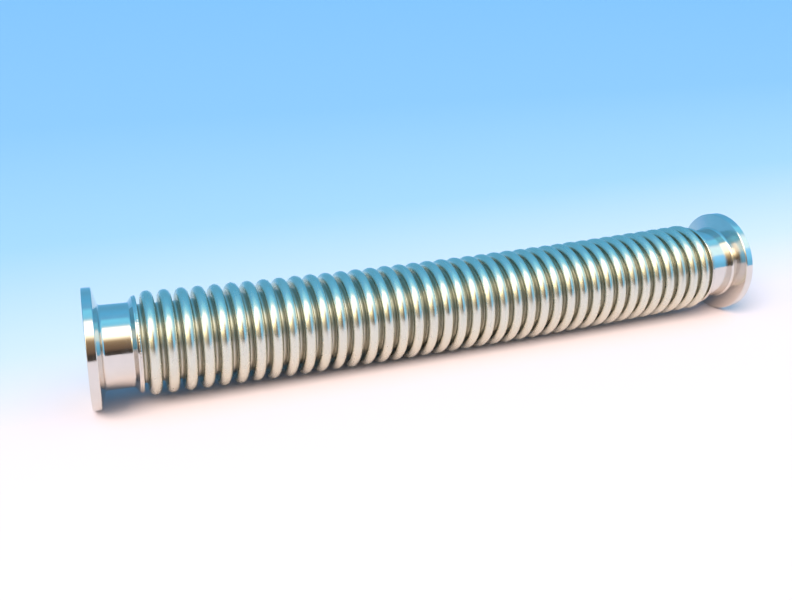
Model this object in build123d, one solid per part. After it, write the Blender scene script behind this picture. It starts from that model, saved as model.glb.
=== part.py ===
from build123d import *
import os
from math import atan2, cos, degrees, hypot, radians, sin, sqrt, tan

# Vacuum bellows hose: a thin-walled annular bellows, edge-welded at both ends
# to a clamp flange of the 25 mm small-flange size.  Millimetres, +Z up.
# The hose lies on its side on the plane Z = 0, its length along X.  It rests
# on the rims of both flanges, and the bellows between them sags until its
# middle convolution just meets the same plane.

# ---------------------------------------------------------------- dimensions
# bellows
PITCH = 5.60              # convolution spacing along the centre line
CONVOLUTIONS = 39         # crests between the two flanges
CREST_R = 17.30           # outside radius over the crests
ROOT_R = 13.00            # outside radius at the bottom of the grooves
WALL = 0.30               # sheet thickness of the bellows
GROOVE_W = 1.60           # width of a groove between two crests
# lie of the hose
BOW_SIDE = 0.50           # sideways bow of the centre line, towards +Y
REST_GAP = 0.02           # clearance under the middle crest
# flange
RIM_R = 20.00             # clamp flange rim, 40 mm across
RIM_T = 3.00              # width of the cylindrical rim
RIM_EDGE = 0.20           # edge break of the rim
TAPER_DEG = 15.0          # clamping taper behind the rim
TAPER_END_R = 14.80       # where the taper runs into its fillet
FILLET_R = 1.00           # fillet between taper and neck
NECK_R = 14.00            # outside of the neck, 28 mm across
BORE_R = 12.50            # passage, 25 mm across
RECESS_R = 13.10          # recess for a centring ring
RECESS_DEPTH = 3.00
RECESS_EDGE = 0.30        # entry chamfer of the recess
FLANGE_L = 16.00          # sealing face to weld lip
LIP_R = 15.90             # weld lip and bellows end wall
LIP_T = 1.00
FLARE_L = 1.30            # cone from the neck up to the lip
FLARE_FILLET_R = 0.80     # fillet between neck and cone
# weld bead over the joint of lip and bellows end wall
BEAD_W = 0.85
BEAD_H = 0.20

# ------------------------------------------------------------- lie of the arc
END_WALL = GROOVE_W / 2 + WALL        # groove centre to the face of the lip
RIM_IN = END_WALL + FLANGE_L - RIM_T  # groove centre to the back of the rim


def arc_of(bow):
    """Angle between neighbouring convolutions and arc radius for a bow."""
    step = bow / (PITCH * CONVOLUTIONS ** 2 / 8)
    for _ in range(30):
        rad = PITCH / (2 * sin(step / 2))
        step *= bow / (rad * (1 - cos(step * CONVOLUTIONS / 2)))
    return step, PITCH / (2 * sin(step / 2))


def heights(sag):
    """Lowest point of a rim and of the middle crest, chord ends at zero."""
    bow = hypot(sag, BOW_SIDE)
    step, _ = arc_of(bow)
    slope = sin(step * (CONVOLUTIONS + 1) / 2) * sag / bow
    reach = RIM_IN + RIM_EDGE
    rim = reach * slope - RIM_R * sqrt(1 - slope ** 2)
    return rim, -sag - CREST_R


lo, hi = 0.5, RIM_R - CREST_R
for _ in range(60):                   # sag at which the middle crest is down
    SAG = (lo + hi) / 2
    rim_low, crest_low = heights(SAG)
    if crest_low - rim_low > REST_GAP:
        lo = SAG
    else:
        hi = SAG
BOW = hypot(SAG, BOW_SIDE)
STEP, ARC_R = arc_of(BOW)
ROLL = degrees(atan2(BOW_SIDE, SAG))  # turn of the arc's plane about X
CHORD_Z = -heights(SAG)[0]            # height of the ends of the arc

END_ANGLE = STEP * (CONVOLUTIONS + 1) / 2   # slope of each flange to the chord
# Both rims lie as far on one side of the middle plane as on the other.
CHORD_Y = sin(END_ANGLE) * BOW_SIDE / BOW * (RIM_IN + RIM_T / 2)

# The arc is drawn in the XZ plane, bowed towards -Z, and turned into place.
PLACE = Location((0, CHORD_Y, CHORD_Z)) * Location((0, 0, 0), (ROLL, 0, 0))
RISE = ARC_R * cos(STEP * CONVOLUTIONS / 2)


def on_arc(angle):
    """Point of the arc at an angle, radians, measured from its middle."""
    return Vector(ARC_R * sin(angle), 0, RISE - ARC_R * cos(angle))


def revolved(profile):
    return revolve(profile, Axis.X, 360)


# ------------------------------------------------------------------- bellows
CREST_O = PITCH / 2 - GROOVE_W / 2    # half width of a crest outside
GROOVE_O = GROOVE_W / 2
half = PITCH / 2
ra = ROOT_R + GROOVE_O                # centre radius of the root bends
rb = CREST_R - CREST_O                # centre radius of the crest bend


def bend(cx, cy, rad, a0, a1):
    am = (a0 + a1) / 2
    pts = [(cx + rad * cos(radians(a)), cy + rad * sin(radians(a))) for a in (a0, am, a1)]
    return ThreePointArc(*pts)


def wall_section():
    """Section of one convolution with a full root bend on each side."""
    go, gi = GROOVE_O, GROOVE_O + WALL
    co, ci = CREST_O, CREST_O - WALL
    outer = [
        bend(-half, ra, go, 270 - 40, 360),
        Line((-co, ra), (-co, rb)),
        bend(0, rb, co, 180, 0),
        Line((co, rb), (co, ra)),
        bend(half, ra, go, 180, 270 + 40),
    ]
    inner = [
        bend(half, ra, gi, 270 + 40, 180),
        Line((ci, ra), (ci, rb)),
        bend(0, rb, ci, 0, 180),
        Line((-ci, rb), (-ci, ra)),
        bend(-half, ra, gi, 360, 270 - 40),
    ]
    a = outer[-1] @ 1
    b = inner[0] @ 0
    c = inner[-1] @ 1
    d = outer[0] @ 0
    return make_face(outer + [Line(a, b)] + inner + [Line(c, d)])


# One convolution, trimmed by the planes that it shares with its neighbours.
convolution = revolved(wall_section())
for side in (-1, 1):
    normal = Vector(-side * cos(STEP / 2), 0, -sin(STEP / 2))
    cut = Plane(origin=(side * half, 0, 0), z_dir=normal)
    convolution = split(convolution, bisect_by=cut, keep=Keep.TOP)


def end_section():
    """Half a groove and the flat end wall, from its groove centre to +X."""
    go, gi = GROOVE_O, GROOVE_O + WALL
    tilt = degrees(atan2(tan(STEP / 2) * CREST_R, go)) + 5
    edges = [
        bend(0, ra, go, 270 - tilt, 360),
        Line((go, ra), (go, LIP_R)),
        Line((go, LIP_R), (gi, LIP_R)),
        Line((gi, LIP_R), (gi, ra)),
        bend(0, ra, gi, 360, 270 - tilt),
    ]
    edges.append(Line(edges[-1] @ 1, edges[0] @ 0))
    return make_face(edges)


cuff = revolved(end_section())
normal = Vector(cos(STEP / 2), 0, sin(STEP / 2) * -1)
cuff = split(cuff, bisect_by=Plane(origin=(0, 0, 0), z_dir=normal), keep=Keep.TOP)

pieces = []
for k in range(CONVOLUTIONS):
    angle = (k - (CONVOLUTIONS - 1) / 2) * STEP
    p0 = on_arc(angle - STEP / 2)
    p1 = on_arc(angle + STEP / 2)
    mid = (p0 + p1) * 0.5
    pieces.append(Location(mid, (0, -degrees(angle), 0)) * convolution)

end_point = on_arc(STEP * CONVOLUTIONS / 2)
RIGHT = Location(end_point, (0, -degrees(END_ANGLE), 0))
LEFT = Location((-end_point.X, 0, end_point.Z), (0, 0, 180)) * Location((0, 0, 0), (0, -degrees(END_ANGLE), 0))
pieces.append(RIGHT * cuff)
pieces.append(LEFT * cuff)

bellows = pieces[0].solids()[0].fuse(*[q.solids()[0] for q in pieces[1:]])


# ------------------------------------------------------------------- flanges
def flange_section():
    """Section of one flange, its sealing face towards +X."""
    x0 = END_WALL                     # face of the weld lip
    x1 = x0 + LIP_T
    x2 = x1 + FLARE_L
    x4 = RIM_IN                       # back edge of the rim
    x5 = x0 + FLANGE_L                # sealing face
    t = tan(radians(TAPER_DEG))
    xa = x4 - (RIM_R - TAPER_END_R) * t
    xb = xa - (TAPER_END_R - NECK_R) * t
    e, c = RIM_EDGE, RECESS_EDGE
    pts = [
        (x0, BORE_R), (x0, LIP_R), (x1, LIP_R), (x2, NECK_R), (xb, NECK_R),
        (x4 - e * t, RIM_R - e), (x4 + e, RIM_R), (x5 - e, RIM_R), (x5, RIM_R - e),
        (x5, RECESS_R + c), (x5 - c, RECESS_R), (x5 - RECESS_DEPTH, RECESS_R),
        (x5 - RECESS_DEPTH, BORE_R),
    ]
    face = make_face(Polyline(*pts, close=True))
    foot = face.vertices().sort_by_distance((xb, NECK_R, 0))[0]
    face = fillet(foot, FILLET_R)
    heel = face.vertices().sort_by_distance((x2, NECK_R, 0))[0]
    return fillet(heel, FLARE_FILLET_R)


def bead_section():
    """Rounded weld bead lying on the rim of the lip and the end wall."""
    x0 = GROOVE_O
    chord = Line((x0, LIP_R), (x0 + BEAD_W, LIP_R))
    crown = ThreePointArc((x0 + BEAD_W, LIP_R), (x0 + BEAD_W / 2, LIP_R + BEAD_H), (x0, LIP_R))
    return make_face([chord, crown])


flange = revolved(flange_section())
bead = revolved(bead_section())

nodes = {
    "flange_left": PLACE * LEFT * flange,
    "weld_seam_left": PLACE * LEFT * bead,
    "bellows": PLACE * bellows,
    "weld_seam_right": PLACE * RIGHT * bead,
    "flange_right": PLACE * RIGHT * flange,
}

os.makedirs("parts", exist_ok=True)
for name, shape in nodes.items():
    solids = shape.solids()
    export_step(solids[0] if len(solids) == 1 else Compound(children=solids), f"parts/{name}.step")
    box = shape.bounding_box()
    print(name, len(solids), "solid", round(shape.volume, 1), "mm3",
          [round(v, 3) for v in (box.min.X, box.min.Y, box.min.Z, box.max.X, box.max.Y, box.max.Z)])

# The two seats of the hose, for the mounts.
print("sag", round(SAG, 4), "bow", round(BOW, 4), "arc radius", round(ARC_R, 2),
      "turn of a flange", round(degrees(END_ANGLE), 4))
print("chord of the bellows", round(2 * end_point.X, 3))
for name, seat in (("left", LEFT), ("right", RIGHT)):
    for what, x in (("groove", 0.0), ("lip", END_WALL), ("rim back", RIM_IN), ("face", END_WALL + FLANGE_L)):
        q = (PLACE * seat * Location((x, 0, 0))).position
        print(name, what, [round(v, 4) for v in q])
    d = (PLACE * seat * Location((1, 0, 0))).position - (PLACE * seat).position
    print(name, "axis", [round(v, 7) for v in d])
print("middle of the arc", [round(v, 4) for v in (PLACE * Location(on_arc(0))).position])
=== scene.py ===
import math
import random

import bpy
import numpy as np
from mathutils import Matrix, Vector


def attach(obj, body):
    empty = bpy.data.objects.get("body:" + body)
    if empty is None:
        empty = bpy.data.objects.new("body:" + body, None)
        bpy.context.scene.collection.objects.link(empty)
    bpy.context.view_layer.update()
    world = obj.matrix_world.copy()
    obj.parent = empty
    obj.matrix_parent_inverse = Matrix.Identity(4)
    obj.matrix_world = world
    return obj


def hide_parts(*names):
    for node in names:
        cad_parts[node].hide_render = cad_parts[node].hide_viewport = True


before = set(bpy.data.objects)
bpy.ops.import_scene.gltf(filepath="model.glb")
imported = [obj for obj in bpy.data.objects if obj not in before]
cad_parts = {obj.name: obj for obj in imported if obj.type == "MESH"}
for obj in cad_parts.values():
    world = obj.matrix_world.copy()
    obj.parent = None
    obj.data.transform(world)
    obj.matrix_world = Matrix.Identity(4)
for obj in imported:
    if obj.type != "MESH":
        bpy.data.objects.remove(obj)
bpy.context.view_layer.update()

MM = 0.001

# ------------------------------------------------------------------ camera
scene = bpy.context.scene
cam_data = bpy.data.cameras.new("camera")
cam_data.sensor_width = 36.0
cam_data.lens = 808.35 / 792.0 * 36.0
cam_data.clip_start, cam_data.clip_end = 0.01, 200.0
camera = bpy.data.objects.new("camera", cam_data)
right = Vector((0.93603645, -0.35184028, -0.00664658)).normalized()
forward = Vector((0.32694381, 0.87647795, -0.35340365)).normalized()
up = right.cross(forward).normalized()
m = Matrix((right, up, -forward)).transposed().to_4x4()
m.translation = Vector((-0.1159882, -0.2579934, 0.1263598))
camera.matrix_world = m
scene.collection.objects.link(camera)
scene.camera = camera

# ------------------------------------------------- the line that the hose lies on
PITCH = 5.60 * MM
COUNT = 39
CREST_R, ROOT_R, WALL = 17.30 * MM, 13.00 * MM, 0.30 * MM
GROOVE_O = 0.80 * MM
CREST_O = PITCH / 2 - GROOVE_O
LIP_R = 15.90 * MM
END_WALL = GROOVE_O + WALL
RIM_IN = 14.10 * MM

# The hose sags between its two flanges and bows a little to the side.
curve = bpy.data.curves.new("hose_route", "CURVE")
curve.dimensions = "3D"
curve.resolution_u = 24
spline = curve.splines.new("NURBS")
route = [
    (-109.1716, 0.1465, 19.4203), (-87.3482, 0.3465, 18.5803), (-43.6796, 0.5865, 17.5721),
    (0.0, 0.6665, 17.2360),
    (43.6796, 0.5865, 17.5721), (87.3482, 0.3465, 18.5803), (109.1716, 0.1465, 19.4203),
]
spline.points.add(len(route) - 1)
for pt, (x, y, z) in zip(spline.points, route):
    pt.co = (x * MM, y * MM, z * MM, 1.0)
spline.order_u = 3
spline.use_endpoint_u = True
holder = bpy.data.objects.new("hose_route", curve)
line = bpy.data.meshes.new_from_object(holder)
ROUTE = [Vector(v.co) for v in line.vertices]
bpy.data.objects.remove(holder)
bpy.data.curves.remove(curve)
bpy.data.meshes.remove(line)

_steps = [(q - p).length for p, q in zip(ROUTE, ROUTE[1:])]
LENGTH = sum(_steps)
_at = np.concatenate([[0.0], np.cumsum(_steps)]) - LENGTH / 2
_pos = np.array([tuple(p) for p in ROUTE])
_tan = np.gradient(_pos, _at, axis=0, edge_order=2)
_tan /= np.linalg.norm(_tan, axis=1)[:, None]


def frame_at(s):
    """Place of a section s metres along the line from its middle: X along the line, Z upwards."""
    inside = min(max(s, _at[0]), _at[-1])
    p = np.array([np.interp(inside, _at, _pos[:, i]) for i in range(3)])
    t = np.array([np.interp(inside, _at, _tan[:, i]) for i in range(3)])
    t /= np.linalg.norm(t)
    p = p + t * (s - inside)
    y = np.cross((0.0, 0.0, 1.0), t)
    y /= np.linalg.norm(y)
    out = np.eye(4)
    out[:3, 0], out[:3, 1], out[:3, 2], out[:3, 3] = t, y, np.cross(t, y), p
    return out


def seat(side):
    """Place of a flange: origin at the outermost groove, X outwards along the flange."""
    t = np.array((side * 0.9991775, -0.009391, 0.0394481))
    y = np.cross((0.0, 0.0, 1.0), t)
    y /= np.linalg.norm(y)
    out = np.eye(4)
    out[:3, 0], out[:3, 1], out[:3, 2] = t, y, np.cross(t, y)
    out[:3, 3] = (side * 109.1716 * MM, 0.1465 * MM, 19.4203 * MM)
    return out


# ------------------------------------------------------------------ mesh tools
def rounded(corners):
    """Closed section from corners (x, r, radius, steps): points with their outward normals."""
    n = len(corners)
    area = sum(corners[i][0] * corners[(i + 1) % n][1] - corners[(i + 1) % n][0] * corners[i][1] for i in range(n))
    turn = 1.0 if area > 0 else -1.0
    out = []
    for i, (x, r, rad, steps) in enumerate(corners):
        p = np.array((x, r))
        a = np.array(corners[i - 1][:2]) - p
        b = np.array(corners[(i + 1) % n][:2]) - p
        a, b = a / np.linalg.norm(a), b / np.linalg.norm(b)
        half = math.acos(max(-1, min(1, float(a @ b)))) / 2
        reach = rad / math.tan(half)
        mid = (a + b) / np.linalg.norm(a + b)
        c = p + mid * rad / math.sin(half)
        convex = (-a[0]) * b[1] - (-a[1]) * b[0]
        sign = 1.0 if convex * turn > 0 else -1.0
        t0, t1 = p + a * reach - c, p + b * reach - c
        a0, a1 = math.atan2(t0[1], t0[0]), math.atan2(t1[1], t1[0])
        d = (a1 - a0 + math.pi) % (2 * math.pi) - math.pi
        for k in range(steps + 1):
            w = a0 + d * k / steps
            v = np.array((math.cos(w), math.sin(w)))
            q = c + v * rad
            out.append((q[0], q[1], v[0] * sign, v[1] * sign))
    return out[::-1] if turn > 0 else out


def make_mesh(name, co, no, turned, rings, around, extra=None):
    """Closed skin from rings of points: co and no are (rings, around, 3)."""
    idx = np.arange(rings * around).reshape(rings, around)
    nxt = np.roll(idx, -1, axis=0)
    quads = np.stack([idx, np.roll(idx, -1, axis=1), np.roll(nxt, -1, axis=1), nxt], axis=-1).reshape(-1, 4)
    mesh = bpy.data.meshes.new(name)
    mesh.from_pydata(co.reshape(-1, 3).tolist(), [], quads.tolist())
    mesh.update()
    for p in mesh.polygons:
        p.use_smooth = True
    mesh.normals_split_custom_set_from_vertices(no.reshape(-1, 3).tolist())
    att = mesh.attributes.new("turned", "FLOAT_VECTOR", "POINT")
    att.data.foreach_set("vector", turned.reshape(-1).astype(np.float32))
    for key, values in (extra or {}).items():
        att = mesh.attributes.new(key, "FLOAT", "POINT")
        att.data.foreach_set("value", values.reshape(-1).astype(np.float32))
    obj = bpy.data.objects.new(name, mesh)
    scene.collection.objects.link(obj)
    return obj


def lathe(name, section, seat, around):
    """Turned piece: the section swept round the X axis of its seat."""
    sec = np.array(section, float)
    th = np.linspace(0, 2 * math.pi, around, endpoint=False)
    c, s = np.cos(th), np.sin(th)
    x = np.repeat(sec[:, 0:1], around, 1)
    local = np.stack([x, sec[:, 1:2] * c, sec[:, 1:2] * s], -1)
    nrm = np.stack([np.repeat(sec[:, 2:3], around, 1), sec[:, 3:4] * c, sec[:, 3:4] * s], -1)
    mat = np.array(seat, float)
    co = local @ mat[:3, :3].T + mat[:3, 3]
    no = nrm @ mat[:3, :3].T
    return make_mesh(name, co, no, local, len(sec), around)


# -------------------------------------------------------------------- bellows
def bellows_section(rng):
    """Closed section of the whole bellows along its line: outside from left to right, then inside back."""
    ra, rb = ROOT_R + GROOVE_O, CREST_R - CREST_O
    gi, ci = GROOVE_O + WALL, CREST_O - WALL
    shift = [rng.uniform(-0.05, 0.05) * MM for _ in range(COUNT)]
    lift = [rng.uniform(-0.035, 0.035) * MM for _ in range(COUNT)]

    def arc(cx, cr, rad, a0, a1, n, sign, skip=()):
        pts = []
        for i in range(n + 1):
            if i in skip:
                continue
            a = math.radians(a0 + (a1 - a0) * i / n)
            pts.append((cx + rad * math.cos(a), cr + rad * math.sin(a), sign * math.cos(a), sign * math.sin(a)))
        return pts

    edge = 0.06 * MM
    outer, inner = [], []
    for j in range(COUNT + 1):
        g = (j - COUNT / 2) * PITCH
        if j == 0:                       # left end wall, from its edge down to the first groove
            outer += [(g - GROOVE_O - WALL / 2, LIP_R, 0, 1), (g - GROOVE_O - edge, LIP_R, 0.2, 1),
                      (g - GROOVE_O, LIP_R - edge, 1, 0.2)]
        outer += arc(g, ra, GROOVE_O, 180, 270, 3, -1)
        outer += arc(g, ra, GROOVE_O, 270, 360, 3, -1, skip=(0,))
        if j < COUNT:
            c = (j + 0.5 - COUNT / 2) * PITCH + shift[j]
            outer += arc(c, rb + lift[j], CREST_O, 180, 0, 10, 1)
        else:
            outer += [(g + GROOVE_O, LIP_R - edge, -1, 0.2), (g + GROOVE_O + edge, LIP_R, -0.2, 1),
                      (g + GROOVE_O + WALL / 2, LIP_R, 0, 1)]
    for j in range(COUNT, -1, -1):
        g = (j - COUNT / 2) * PITCH
        if j == COUNT:
            inner += [(g + gi - edge, LIP_R, 0.2, 1), (g + gi, LIP_R - edge, 1, 0.2)]
        inner += arc(g, ra, gi, 360, 180, 4, 1)
        if j > 0:
            c = (j - 0.5 - COUNT / 2) * PITCH + shift[j - 1]
            inner += arc(c, rb + lift[j - 1], ci, 0, 180, 3, -1)
        else:
            inner += [(g - gi, LIP_R - edge, -1, 0.2), (g - gi + edge, LIP_R, -0.2, 1)]
    return outer, inner


def bellows_mesh(around):
    rng = random.Random(11)
    outer, inner = bellows_section(rng)
    sec = np.array(outer + inner, float)
    tilt = [(rng.uniform(-0.04, 0.04), rng.uniform(-0.04, 0.04)) for _ in range(COUNT + 2)]
    th = np.linspace(0, 2 * math.pi, around, endpoint=False)
    c, s_ = np.cos(th), np.sin(th)
    rings = len(sec)
    co = np.zeros((rings, around, 3))
    no = np.zeros((rings, around, 3))
    turned = np.zeros((rings, around, 3))
    height = np.zeros((rings, around))
    for i, (s, r, ns, nr) in enumerate(sec):
        m4 = frame_at(s)
        k = min(max(int(round(s / PITCH + (COUNT - 1) / 2)), 0), COUNT - 1)
        h = max(0.0, min(1.0, (r - ROOT_R) / (CREST_R - ROOT_R)))
        lean = (tilt[k][0] * c + tilt[k][1] * s_) * MM * h * (1 if 0 < i < rings else 0)
        local = np.stack([lean, r * c, r * s_], -1)
        length = math.hypot(ns, nr)
        nl = np.stack([np.full(around, ns / length), nr / length * c, nr / length * s_], -1)
        co[i] = local @ m4[:3, :3].T + m4[:3, 3]
        no[i] = nl @ m4[:3, :3].T
        turned[i] = np.stack([np.full(around, s), r * c, r * s_], -1)
        height[i] = h if i < len(outer) else -0.2
    return make_mesh("bellows_skin", co, no, turned, rings, around, {"height": height})


bellows = bellows_mesh(92)


# -------------------------------------------------------------------- flanges
def flange_section():
    x0, x4, x5 = 1.10, 14.10, 17.10
    t = math.tan(math.radians(15))
    xa = x4 - 5.2 * t
    xb = xa - 0.8 * t
    corners = [
        (x0, 12.5, 0.08, 3), (x0, 15.9, 0.06, 3), (x0 + 1.0, 15.9, 0.12, 4), (x0 + 2.3, 14.0, 0.8, 8),
        (xb, 14.0, 1.0, 10), (x4 - 0.2 * t, 19.8, 0.18, 4), (x4 + 0.2, 20.0, 0.18, 4),
        (x5 - 0.2, 20.0, 0.14, 4), (x5, 19.8, 0.14, 4), (x5, 13.4, 0.10, 4), (x5 - 0.3, 13.1, 0.10, 4),
        (x4, 13.1, 0.12, 4), (x4, 12.5, 0.15, 4),
    ]
    pts = rounded([(x * MM, r * MM, rad * MM, n) for x, r, rad, n in corners])
    out = []
    for i, p in enumerate(pts):          # long runs get a few rings of their own
        q = pts[(i + 1) % len(pts)]
        out.append(p)
        gap = math.hypot(q[0] - p[0], q[1] - p[1])
        n = int(gap / (1.6 * MM))
        for k in range(1, n + 1):
            w = k / (n + 1)
            out.append(tuple(p[i2] * (1 - w) + q[i2] * w for i2 in range(4)))
    return out


flange_left = lathe("flange_turned_left", flange_section(), seat(-1), 192)
flange_right = lathe("flange_turned_right", flange_section(), seat(1), 192)


# ----------------------------------------------------------------- weld beads
def weld_bead(name, place, seed):
    """Rounded bead of overlapping pools, laid round the joint of the lip and the bellows' end wall."""
    rng = random.Random(seed)
    around, sides = 540, 12
    pools = 96
    wob = [rng.uniform(0.75, 1.15) for _ in range(pools)]
    off = [rng.uniform(-0.05, 0.05) for _ in range(pools)]
    start = rng.uniform(0, 2 * math.pi)
    prof, nrm, loc = [], [], []
    for j in range(sides + 1):
        a = math.pi * (1 - j / sides)
        prof.append((math.cos(a), math.sin(a)))
    co = np.zeros((sides + 1, around, 3))
    for i in range(around):
        th = 2 * math.pi * i / around
        u = ((th + start) / (2 * math.pi) * pools) % pools
        k, f = int(u), u - int(u)
        blend = f * f * (3 - 2 * f)
        w = wob[k] * (1 - blend) + wob[(k + 1) % pools] * blend
        o = off[k] * (1 - blend) + off[(k + 1) % pools] * blend
        ripple = 1.0 - 0.22 * (2 * abs(f - 0.5)) ** 4
        h = 0.20 * (0.75 + 0.25 * w) * ripple * MM
        half = 0.425 * (0.92 + 0.08 * w) * MM
        cx = GROOVE_O + (0.425 + 0.3 * o) * MM
        for j, (px, pr) in enumerate(prof):
            r = LIP_R - 0.05 * MM + (h + 0.05 * MM) * pr
            co[j, i] = (cx + half * px, r * math.cos(th), r * math.sin(th))
    m4 = place
    world = co @ m4[:3, :3].T + m4[:3, 3]
    tx = np.roll(world, -1, axis=1) - np.roll(world, 1, axis=1)
    ty = np.zeros_like(world)
    ty[1:-1] = world[2:] - world[:-2]
    ty[0], ty[-1] = world[1] - world[0], world[-1] - world[-2]
    no = np.cross(ty, tx)
    no /= np.linalg.norm(no, axis=2)[:, :, None]
    centre = (np.array((GROOVE_O + 0.425 * MM, 0, 0)) @ m4[:3, :3].T) + m4[:3, 3]
    radial = world - centre
    if float((no[sides // 2] * radial[sides // 2]).sum()) < 0:
        no = -no
    return make_mesh(name, world, no, co, sides + 1, around)


bead_left = weld_bead("weld_bead_left", seat(-1), 5)
bead_right = weld_bead("weld_bead_right", seat(1), 8)


# ------------------------------------------------------------------ materials
class Nodes:
    """Short calls for building a node tree."""

    def __init__(self, tree):
        self.tree = tree
        tree.nodes.clear()

    def add(self, kind, **values):
        node = self.tree.nodes.new(kind)
        for key, value in values.items():
            setattr(node, key, value)
        return node

    def put(self, value, socket):
        if isinstance(value, bpy.types.NodeSocket):
            self.tree.links.new(value, socket)
        else:
            socket.default_value = value

    def math(self, op, a, b=0.0, c=0.0, clamp=False):
        node = self.add("ShaderNodeMath", operation=op, use_clamp=clamp)
        self.put(a, node.inputs[0])
        self.put(b, node.inputs[1])
        if len(node.inputs) > 2:
            self.put(c, node.inputs[2])
        return node.outputs[0]

    def vec(self, x, y, z):
        node = self.add("ShaderNodeCombineXYZ")
        for i, v in enumerate((x, y, z)):
            self.put(v, node.inputs[i])
        return node.outputs[0]

    def split(self, v):
        node = self.add("ShaderNodeSeparateXYZ")
        self.put(v, node.inputs[0])
        return node.outputs

    def noise(self, v, scale=1.0, detail=2.0, rough=0.5):
        node = self.add("ShaderNodeTexNoise")
        self.put(v, node.inputs["Vector"])
        node.inputs["Scale"].default_value = scale
        node.inputs["Detail"].default_value = detail
        node.inputs["Roughness"].default_value = rough
        return node.outputs["Fac"]

    def fit(self, v, a0, a1, b0, b1):
        node = self.add("ShaderNodeMapRange")
        self.put(v, node.inputs["Value"])
        for key, value in (("From Min", a0), ("From Max", a1), ("To Min", b0), ("To Max", b1)):
            self.put(value, node.inputs[key])
        return node.outputs["Result"]

    def ramp(self, v, stops, mode="LINEAR"):
        node = self.add("ShaderNodeValToRGB")
        node.color_ramp.interpolation = mode
        e = node.color_ramp.elements
        while len(e) > 1:
            e.remove(e[-1])
        for i, (pos, col) in enumerate(stops):
            el = e[0] if i == 0 else e.new(pos)
            el.position = pos
            el.color = (*col, 1.0)
        self.put(v, node.inputs["Fac"])
        return node.outputs["Color"]

    def mix(self, f, a, b):
        node = self.add("ShaderNodeMix", data_type="RGBA")
        self.put(f, node.inputs[0])
        for sock, value in ((node.inputs[6], a), (node.inputs[7], b)):
            self.put((*value, 1.0) if isinstance(value, tuple) else value, sock)
        return node.outputs[2]

    def attribute(self, name):
        return self.add("ShaderNodeAttribute", attribute_name=name)


def turned_steel(name, base, dark, rough, lines, line_depth, smudge, height=False):
    """Turned or formed stainless steel: fine lines round the axis, smudges, a few scratches; with height, painted
    shade darkens the grooves.
    """
    mat = bpy.data.materials.new(name)
    mat.use_nodes = True
    n = Nodes(mat.node_tree)
    at = n.attribute("turned").outputs["Vector"]
    x, y, z = n.split(at)
    rad = n.math("SQRT", n.math("ADD", n.math("MULTIPLY", y, y), n.math("MULTIPLY", z, z)))
    # lathe lines: quick along the section, slow round the axis
    fine = n.noise(n.vec(n.math("MULTIPLY", x, lines), n.math("MULTIPLY", rad, lines),
                         n.math("MULTIPLY", n.math("ADD", y, z), 40.0)), 1.0, 3.0, 0.6)
    wide = n.noise(n.vec(n.math("MULTIPLY", x, lines * 0.16), n.math("MULTIPLY", rad, lines * 0.16),
                         n.math("MULTIPLY", n.math("SUBTRACT", y, z), 12.0)), 1.0, 2.0, 0.5)
    cloud = n.noise(at, 95.0, 4.0, 0.62)
    speck = n.noise(at, 1400.0, 2.0, 0.5)
    patch = n.fit(cloud, 0.36, 0.68, 0.0, 1.0)
    tone = n.math("MULTIPLY", patch, smudge)
    if height:
        h = n.attribute("height").outputs["Fac"]
        # Painted shade: low in the grooves the colour is painted towards the dark colour, standing in for the
        # shade that falls into them; the grooves are also rougher.
        groove_shade_mask = n.fit(h, 0.02, 0.42, 1.0, 0.0)
        colour = n.mix(n.math("MULTIPLY", groove_shade_mask, 0.75), base, dark)
        colour = n.mix(n.math("MULTIPLY", tone, 0.5), colour, dark)
        r = n.math("ADD", n.math("MULTIPLY", groove_shade_mask, 0.05), rough)
    else:
        colour = n.mix(tone, base, dark)
        r = rough
    r = n.math("ADD", r, n.math("MULTIPLY", patch, 0.05))
    r = n.math("ADD", r, n.fit(wide, 0.3, 0.7, -0.02, 0.03))
    if not height:
        r = n.math("ADD", r, n.fit(speck, 0.45, 0.75, 0.0, 0.03), clamp=True)
    bump = n.add("ShaderNodeBump")
    bump.inputs["Distance"].default_value = 0.0001
    bump.inputs["Strength"].default_value = line_depth
    n.put(cloud if height else n.math("ADD", fine, n.math("MULTIPLY", wide, 1.5)), bump.inputs["Height"])
    b = n.add("ShaderNodeBsdfPrincipled")
    b.inputs["Metallic"].default_value = 1.0
    n.put(colour, b.inputs["Base Color"])
    n.put(r, b.inputs["Roughness"])
    n.put(bump.outputs["Normal"], b.inputs["Normal"])
    out = n.add("ShaderNodeOutputMaterial")
    n.put(b.outputs[0], out.inputs["Surface"])
    return mat


flange_steel = turned_steel("flange_steel", (0.74, 0.70, 0.65), (0.60, 0.56, 0.51), 0.07, 9000.0, 0.08, 0.35)
bellows_steel = turned_steel("bellows_steel", (0.72, 0.71, 0.61), (0.54, 0.51, 0.44), 0.24, 6000.0, 0.05, 0.25, height=True)
weld_steel = turned_steel("weld_steel", (0.76, 0.71, 0.64), (0.56, 0.50, 0.42), 0.16, 3000.0, 0.06, 0.5)

for obj, mat, slot_name, node in (
    (bellows, bellows_steel, "bellows_steel", "bellows"),
    (flange_left, flange_steel, "flange_steel", "flange_left"),
    (flange_right, flange_steel, "flange_steel", "flange_right"),
    (bead_left, weld_steel, "weld_steel", "weld_seam_left"),
    (bead_right, weld_steel, "weld_steel", "weld_seam_right"),
):
    obj.data.materials.append(mat)
    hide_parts(node)
    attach(obj, "root")

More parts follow.
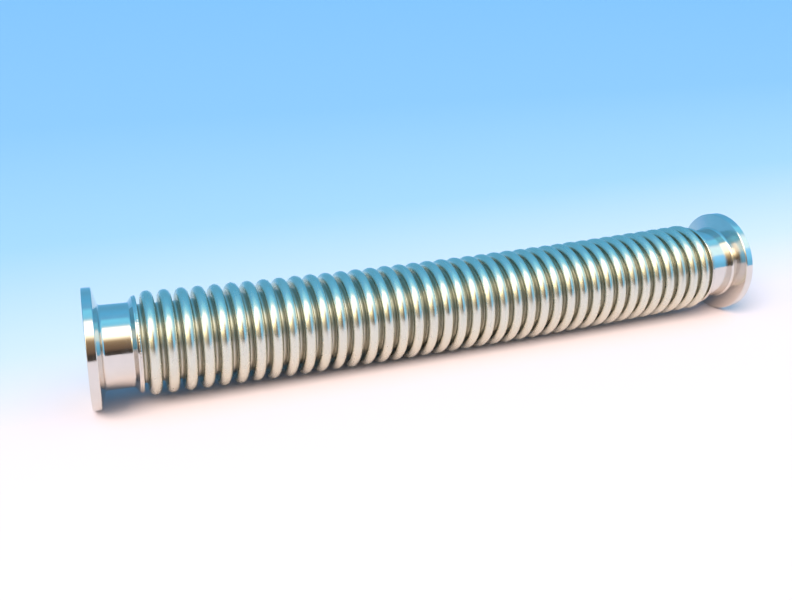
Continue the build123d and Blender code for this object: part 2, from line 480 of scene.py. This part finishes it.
# ---------------------------------------------------------------- floor, light
def disc(name, radius, around=128):
    mesh = bpy.data.meshes.new(name)
    verts = [(0.0, 0.0, 0.0)]
    for k in range(1, 13):
        r = radius * (k / 12) ** 2
        verts += [(r * math.cos(2 * math.pi * i / around), r * math.sin(2 * math.pi * i / around), 0.0) for i in range(around)]
    faces = [(0, 1 + i, 1 + (i + 1) % around) for i in range(around)]
    for k in range(11):
        a, b = 1 + k * around, 1 + (k + 1) * around
        faces += [(a + i, b + i, b + (i + 1) % around, a + (i + 1) % around) for i in range(around)]
    mesh.from_pydata(verts, [], faces)
    mesh.update()
    obj = bpy.data.objects.new(name, mesh)
    scene.collection.objects.link(obj)
    return obj


floor = disc("floor", 80.0)
mat = bpy.data.materials.new("floor_painted_light")
mat.use_nodes = True
n = Nodes(mat.node_tree)
pos = n.add("ShaderNodeNewGeometry").outputs["Position"]
px, py, pz = n.split(pos)
# Painted light: by its own position the floor is painted white in front of the hose and fades to a painted light
# blue behind it, standing in for the light falling off and the blue sky light it catches.
back = n.math("SUBTRACT", py, n.math("MULTIPLY", px, 0.06))
back = n.math("MAXIMUM", n.math("ADD", back, 0.135), 0.0)
painted_light_falloff = n.math("DIVIDE", back, n.math("ADD", back, 0.35))
colour = n.ramp(painted_light_falloff, [(0.0, (0.70, 0.62, 0.67)), (0.28, (0.66, 0.60, 0.65)), (0.36, (0.46, 0.55, 0.65)),
                       (0.50, (0.27, 0.45, 0.64)), (0.70, (0.19, 0.38, 0.62)), (1.0, (0.16, 0.35, 0.60))])
b = n.add("ShaderNodeBsdfPrincipled")
n.put(colour, b.inputs["Base Color"])
b.inputs["Roughness"].default_value = 0.6
b.inputs["Specular IOR Level"].default_value = 0.1
out = n.add("ShaderNodeOutputMaterial")
n.put(b.outputs[0], out.inputs["Surface"])
floor.data.materials.append(mat)

# Studio light: bands of light all round, by the angle above the floor in front of
# the object, from the horizon in front (0), over the top (90), to behind (180).
# Low in front there is a dark band, with light ones to the right and the left of it.
world = bpy.data.worlds.new("studio")
scene.world = world
world.use_nodes = True
n = Nodes(world.node_tree)
direction = n.add("ShaderNodeTexCoord").outputs["Generated"]
dx, dy, dz = n.split(direction)
angle = n.math("DEGREES", n.math("ARCTAN2", dz, n.math("MULTIPLY", dy, -1.0)))
at = n.math("DIVIDE", n.math("ADD", angle, 180.0), 360.0, clamp=True)
SCALE = 3.0


def bands(stops):
    return n.ramp(at, [((a + 180.0) / 360.0, tuple(v / SCALE for v in col)) for a, col in stops])


over = [
    (79, (0.35, 0.85, 1.15)), (84, (0.26, 0.83, 1.22)), (96, (0.25, 0.90, 1.30)), (104, (0.18, 0.56, 0.95)),
    (120, (0.135, 0.56, 0.98)), (145, (0.135, 0.475, 0.80)), (170, (0.15, 0.50, 0.85)), (180, (0.20, 0.58, 0.95)),
]
middle = bands([
    (-180, (0.22, 0.58, 0.95)), (-150, (0.22, 0.58, 0.95)), (-60, (0.9, 0.9, 0.9)), (-5, (0.16, 0.14, 0.13)),
    (-1, (0.06, 0.053, 0.047)), (10, (0.07, 0.055, 0.045)), (16, (0.20, 0.13, 0.09)), (26, (0.28, 0.19, 0.12)),
    (35, (0.40, 0.28, 0.17)), (40, (0.85, 0.66, 0.42)), (44, (1.60, 1.42, 1.05)), (49, (2.1, 2.02, 1.80)),
    (71, (2.1, 2.05, 1.95)), (76, (0.8, 1.05, 1.20)),
] + over)
right_side = bands([
    (-180, (0.22, 0.58, 0.95)), (-150, (0.22, 0.58, 0.95)), (-60, (0.9, 0.9, 0.9)), (-5, (0.19, 0.60, 1.00)),
    (10, (0.20, 0.65, 1.05)), (22, (0.27, 0.83, 1.33)), (36, (0.36, 0.93, 1.47)), (41, (0.60, 1.10, 1.50)),
    (44, (0.93, 1.34, 1.51)), (66, (0.98, 1.40, 1.54)), (72, (0.9, 1.2, 1.4)),
] + over)
far_side = bands([
    (-180, (0.22, 0.58, 0.95)), (-150, (0.22, 0.58, 0.95)), (-60, (0.9, 0.9, 0.9)), (-5, (0.30, 0.42, 0.45)),
    (22, (0.30, 0.45, 0.50)), (36, (0.36, 0.48, 0.50)), (44, (0.60, 0.68, 0.64)), (66, (0.62, 0.72, 0.70)),
    (72, (0.5, 0.7, 0.75)),
] + over)
left_side = bands([
    (-180, (0.22, 0.58, 0.95)), (-150, (0.22, 0.58, 0.95)), (-60, (0.9, 0.9, 0.9)), (-5, (0.34, 0.32, 0.27)),
    (5, (0.20, 0.19, 0.16)), (14, (0.28, 0.25, 0.18)), (24, (0.75, 0.60, 0.36)), (34, (2.20, 1.85, 1.10)),
    (42, (3.40, 3.05, 2.35)), (72, (3.40, 3.15, 2.70)), (78, (1.0, 1.25, 1.30)),
] + over)
colour = n.mix(n.fit(dx, -0.14, -0.30, 0.0, 1.0), middle, left_side)
low = n.fit(angle, 40.0, 44.0, 1.0, 0.0)          # the panel high in front reaches farther to the right
colour = n.mix(n.fit(dx, n.fit(low, 0.0, 1.0, 0.36, 0.16), n.fit(low, 0.0, 1.0, 0.54, 0.36), 0.0, 1.0), colour, right_side)
colour = n.mix(n.fit(dx, 0.72, 0.88, 0.0, 1.0), colour, far_side)
back = n.add("ShaderNodeBackground")
n.put(colour, back.inputs["Color"])
n.put(SCALE, back.inputs["Strength"])
out = n.add("ShaderNodeOutputWorld")
n.put(back.outputs[0], out.inputs["Surface"])

# A large soft lamp from the front for the floor; polished metal does not mirror it.
lamp = bpy.data.lights.new("front_lamp", "SUN")
lamp.energy = 3.55
lamp.angle = math.radians(36)
lamp.color = (1.0, 0.80, 0.66)
lamp_obj = bpy.data.objects.new("front_lamp", lamp)
lamp_obj.rotation_euler = Vector((0.50, 0.50, -0.68)).to_track_quat("-Z", "Y").to_euler()
lamp_obj.visible_glossy = False
scene.collection.objects.link(lamp_obj)

scene.view_settings.view_transform = "Standard"
